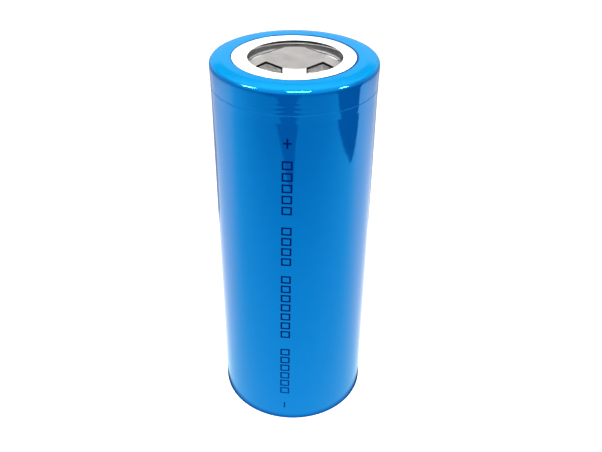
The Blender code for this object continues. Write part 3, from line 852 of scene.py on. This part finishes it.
def make_sleeve_print():
    """Polarity marks and, between them, rows of plain box outlines in place of printed text."""
    corners = []
    faces = []
    arm = (PLUS_WIDTH - STROKE) / 2
    add_patch(corners, faces, 0.0, PRINT_TOP, STROKE, PRINT_WIDTH)
    for side in (-1, 1):
        add_patch(corners, faces, side * (STROKE + arm) / 2, PRINT_TOP, arm, STROKE)
    for top, bottom, count in PRINT_GROUPS:
        pitch = (top - bottom - BOX_LENGTH) / (count - 1)
        for number in range(count):
            middle = top - BOX_LENGTH / 2 - pitch * number
            for side in (-1, 1):
                edge = side * (BOX_LENGTH - STROKE) / 2
                add_patch(corners, faces, 0.0, middle + edge, PRINT_WIDTH, STROKE)
                edge = side * (PRINT_WIDTH - STROKE) / 2
                add_patch(corners, faces, edge, middle, STROKE, BOX_LENGTH - 2 * STROKE)
    add_patch(corners, faces, 0.0, PRINT_BOTTOM, STROKE, MINUS_WIDTH)
    mesh = bpy.data.meshes.new("sleeve_print")
    mesh.from_pydata(corners, [], faces)
    return new_object("sleeve_print", mesh, materials["navy_ink"])


# Floor, lights and camera

def make_floor():
    """Pale floor under the cell that glows by itself, most strongly round the cell: painted light
    that fills the cell's shadow, so the floor shows as white.
    """
    below_cell = -0.03
    bpy.ops.mesh.primitive_plane_add(
        size=2 * FLOOR_HALF_WIDTH * MM, location=(0.0, 0.0, below_cell * MM))
    floor = bpy.context.object
    floor.name = "floor"
    pale = Recipe("pale_floor", roughness=0.9)
    paper = pale.noise(0.05)
    pale.feed("Base Color", pale.blend(paper, (0.11, 0.11, 0.11), (0.13, 0.13, 0.13)))
    pale.shader.inputs["Specular IOR Level"].default_value = 0.0
    # Painted light: the floor glows, brighter near the cell, so no shadow shows round it.
    pale.feed("Emission Color", (1.0, 1.0, 1.0, 1.0))
    pale.feed("Emission Strength", pale.spread(pale.radius(), 15.0, 130.0, 1.6, 1.0))
    floor.data.materials.append(pale.material)


def area_light(name, place, aim, width, length, watts):
    """A soft rectangular light at a place, turned towards a point."""
    data = bpy.data.lights.new(name, "AREA")
    data.shape = "RECTANGLE"
    data.size = width * MM
    data.size_y = length * MM
    data.energy = watts
    light = bpy.data.objects.new(name, data)
    light.location = Vector(place) * MM
    towards = (Vector(aim) - Vector(place)).normalized()
    light.rotation_euler = towards.to_track_quat("-Z", "Y").to_euler()
    bpy.context.scene.collection.objects.link(light)
    return light


def direction(azimuth, elevation, distance):
    """A place at a distance from the cell's top; azimuth 0 is +X and 90 is +Y."""
    turn = math.radians(azimuth)
    rise = math.radians(elevation)
    top = Vector((0.0, 0.0, CELL_HEIGHT))
    level = math.cos(rise)
    along = Vector((level * math.cos(turn), level * math.sin(turn), math.sin(rise)))
    return tuple(top + along * distance)


def only_in_reflections(obj):
    """Leave an object out of everything but mirror-like reflections."""
    obj.visible_camera = False
    obj.visible_diffuse = False
    obj.visible_shadow = False
    obj.visible_transmission = False


def make_lights():
    """One wide soft light overhead, and small lamps that show only as highlights."""
    soft = area_light("overhead", SOFT_PLACE, (0, 0, 0), SOFT_SIZE, SOFT_SIZE, SOFT_WATTS)
    soft.visible_glossy = False
    top = (0.0, 0.0, CELL_HEIGHT)
    for name, azimuth, elevation, width, length in LAMPS:
        place = direction(azimuth, elevation, LAMP_DISTANCE)
        watts = width * length * LAMP_WATTS_PER_AREA
        only_in_reflections(area_light(name, place, top, width, length, watts))


def make_world():
    """Soft light from above and from the front, dim behind, and white where the camera sees it."""
    world = bpy.data.worlds.new("studio")
    bpy.context.scene.world = world
    world.use_nodes = True
    tree = world.node_tree

    def shade(value, start, end, low, high):
        """Brightness that goes smoothly from low to high as a value goes from start to end."""
        node = tree.nodes.new("ShaderNodeMapRange")
        node.interpolation_type = "SMOOTHSTEP"
        tree.links.new(value, node.inputs["Value"])
        node.inputs["From Min"].default_value = start
        node.inputs["From Max"].default_value = end
        if isinstance(low, bpy.types.NodeSocket):
            tree.links.new(low, node.inputs["To Min"])
        else:
            node.inputs["To Min"].default_value = low
        node.inputs["To Max"].default_value = high
        return node.outputs["Result"]

    coordinates = tree.nodes.new("ShaderNodeTexCoord")
    along = tree.nodes.new("ShaderNodeSeparateXYZ")
    tree.links.new(coordinates.outputs["Generated"], along.inputs[0])
    ahead = shade(along.outputs["Y"], 0.2, -0.4, HORIZON_LIGHT, FRONT_LIGHT)
    near_floor = shade(along.outputs["Z"], 0.44, 0.33, 0.0, BACKDROP_LIGHT)
    brighter = tree.nodes.new("ShaderNodeMath")
    brighter.operation = "MAXIMUM"
    tree.links.new(ahead, brighter.inputs[0])
    tree.links.new(near_floor, brighter.inputs[1])
    strength = shade(along.outputs["Z"], 0.5, 0.8, brighter.outputs[0], DOME_LIGHT)

    surroundings = tree.nodes["Background"]
    tree.links.new(strength, surroundings.inputs["Strength"])
    backdrop = tree.nodes.new("ShaderNodeBackground")
    backdrop.inputs["Strength"].default_value = WHITE_BACKDROP
    for background in (surroundings, backdrop):
        background.inputs["Color"].default_value = (1.0, 1.0, 1.0, 1.0)
    path = tree.nodes.new("ShaderNodeLightPath")
    mix = tree.nodes.new("ShaderNodeMixShader")
    tree.links.new(path.outputs["Is Camera Ray"], mix.inputs[0])
    tree.links.new(surroundings.outputs[0], mix.inputs[1])
    tree.links.new(backdrop.outputs[0], mix.inputs[2])
    tree.links.new(mix.outputs[0], tree.nodes["World Output"].inputs["Surface"])


def glow_only(name, level):
    """A Recipe for a surface that gives off light of a brightness and reflects none."""
    glow = Recipe(name, roughness=1.0)
    glow.feed("Base Color", (0.0, 0.0, 0.0, 1.0))
    glow.shader.inputs["Specular IOR Level"].default_value = 0.0
    glow.feed("Emission Color", (1.0, 1.0, 1.0, 1.0))
    glow.feed("Emission Strength", level)
    return glow


def make_card(name, outline, height, material):
    """A flat card over the floor, seen only as a reflection in glossy pieces."""
    mesh = bpy.data.meshes.new(name)
    mesh.from_pydata([(x * MM, y * MM, height * MM) for x, y in outline], [], [range(len(outline))])
    mesh.materials.append(material)
    card = bpy.data.objects.new(name, mesh)
    bpy.context.scene.collection.objects.link(card)
    only_in_reflections(card)


def make_table():
    """What the film reflects of the table: brighter behind the cell than before it."""
    glow = glow_only("reflected_table", 1.0)
    y = glow.split(glow.place)["Y"]
    near = glow.spread(y, -130.0, 20.0, TABLE_FRONT, TABLE_SIDES)
    far = glow.spread(y, 40.0, 110.0, 1.0, TABLE_BACK / TABLE_SIDES)
    edge = glow.spread(glow.radius(), 140.0, 200.0, 1.0, 0.4)
    # Painted shadow: the reflected table is dark in a narrow ring right round the cell's foot.
    contact = glow.spread(glow.radius(), SHOULDER_RADIUS + 0.1, SHOULDER_RADIUS + 1.0)
    rings = glow.math("MULTIPLY", contact, edge)
    glow.feed("Emission Strength", glow.math("MULTIPLY", rings, glow.math("MULTIPLY", near, far)))
    whiter = glow.spread(y, -20.0, 15.0)
    glow.feed("Emission Color", glow.blend(whiter, (0.3, 0.95, 1.0), (1.0, 1.0, 1.0)))
    half = FLOOR_HALF_WIDTH
    outline = ((-half, -half), (half, -half), (half, half), (-half, half))
    make_card("reflected_table", outline, -0.01, glow.material)


def make_camera():
    """Camera that sees the cell from in front and above."""
    data = bpy.data.cameras.new("camera")
    data.lens = LENS
    data.sensor_width = 36.0
    data.clip_start = 0.001
    camera = bpy.data.objects.new("camera", data)
    bpy.context.scene.collection.objects.link(camera)
    place = Vector(CAMERA_PLACE)
    towards = (Vector(CAMERA_AIM) - place).normalized()
    turn = towards.to_track_quat("-Z", "Y").to_matrix().to_4x4()
    camera.location = place * MM
    camera.rotation_euler = (turn @ turn.Rotation(CAMERA_ROLL, 4, "Z")).to_euler()
    bpy.context.scene.camera = camera


# Put the cell together

# CAD nodes that keep their own meshes, and the material of each
SLOT_OF_NODE = {
    "separator_inner": "separator_film",
    "separator_outer": "separator_film",
    "anode_foil": "copper",
    "cathode_foil": "aluminium",
    "anode_coating_inner": "graphite_coating",
    "anode_coating_outer": "graphite_coating",
    "cathode_coating_inner": "oxide_coating",
    "cathode_coating_outer": "oxide_coating",
    "roll_tape": "blue_tape",
    "positive_tab": "aluminium",
    "negative_tab": "nickel",
    "positive_tab_tape": "polyimide_tape",
    "upper_insulator": "insulator_plastic",
    "lower_insulator": "insulator_plastic",
    "interrupt_plate": "aluminium",
    "interrupt_plate_holder": "insulator_plastic",
}

# Pieces made here: what makes each, the CAD node it replaces, its body and its material
PIECES = (
    (make_sleeve_film, "shrink_sleeve", "cell", "blue_film"),
    (make_washer_board, "top_insulator_washer", "cell", "white_board"),
    (make_can_shell, "steel_can", "cell", "nickel_plated_steel"),
    (make_gasket_seal, "crimp_gasket", "cell", "gasket_plastic"),
    (make_cap_pressing, "positive_cap", "cell", "nickel_plated_steel"),
    (make_ptc_wafer, "ptc_ring", "cell", "ptc_compound"),
    (make_vent_rim, "vent_disc_rim", "cell", "aluminium"),
    (make_vent_dome, "vent_disc_dome", "vent_dome", "aluminium"),
)

for make, node, body, slot in PIECES:
    piece = make()
    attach(piece, body)
    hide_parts(node)

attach(make_sleeve_print(), "cell")

for node, slot in SLOT_OF_NODE.items():
    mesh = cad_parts[node].data
    mesh.materials.clear()
    mesh.materials.append(materials[slot])

make_floor()
make_table()
make_lights()
make_world()
for name, outline, level in CARDS:
    make_card(name, outline, CARD_HEIGHT, glow_only(name, level).material)
make_camera()
bpy.context.scene.view_settings.view_transform = "Standard"
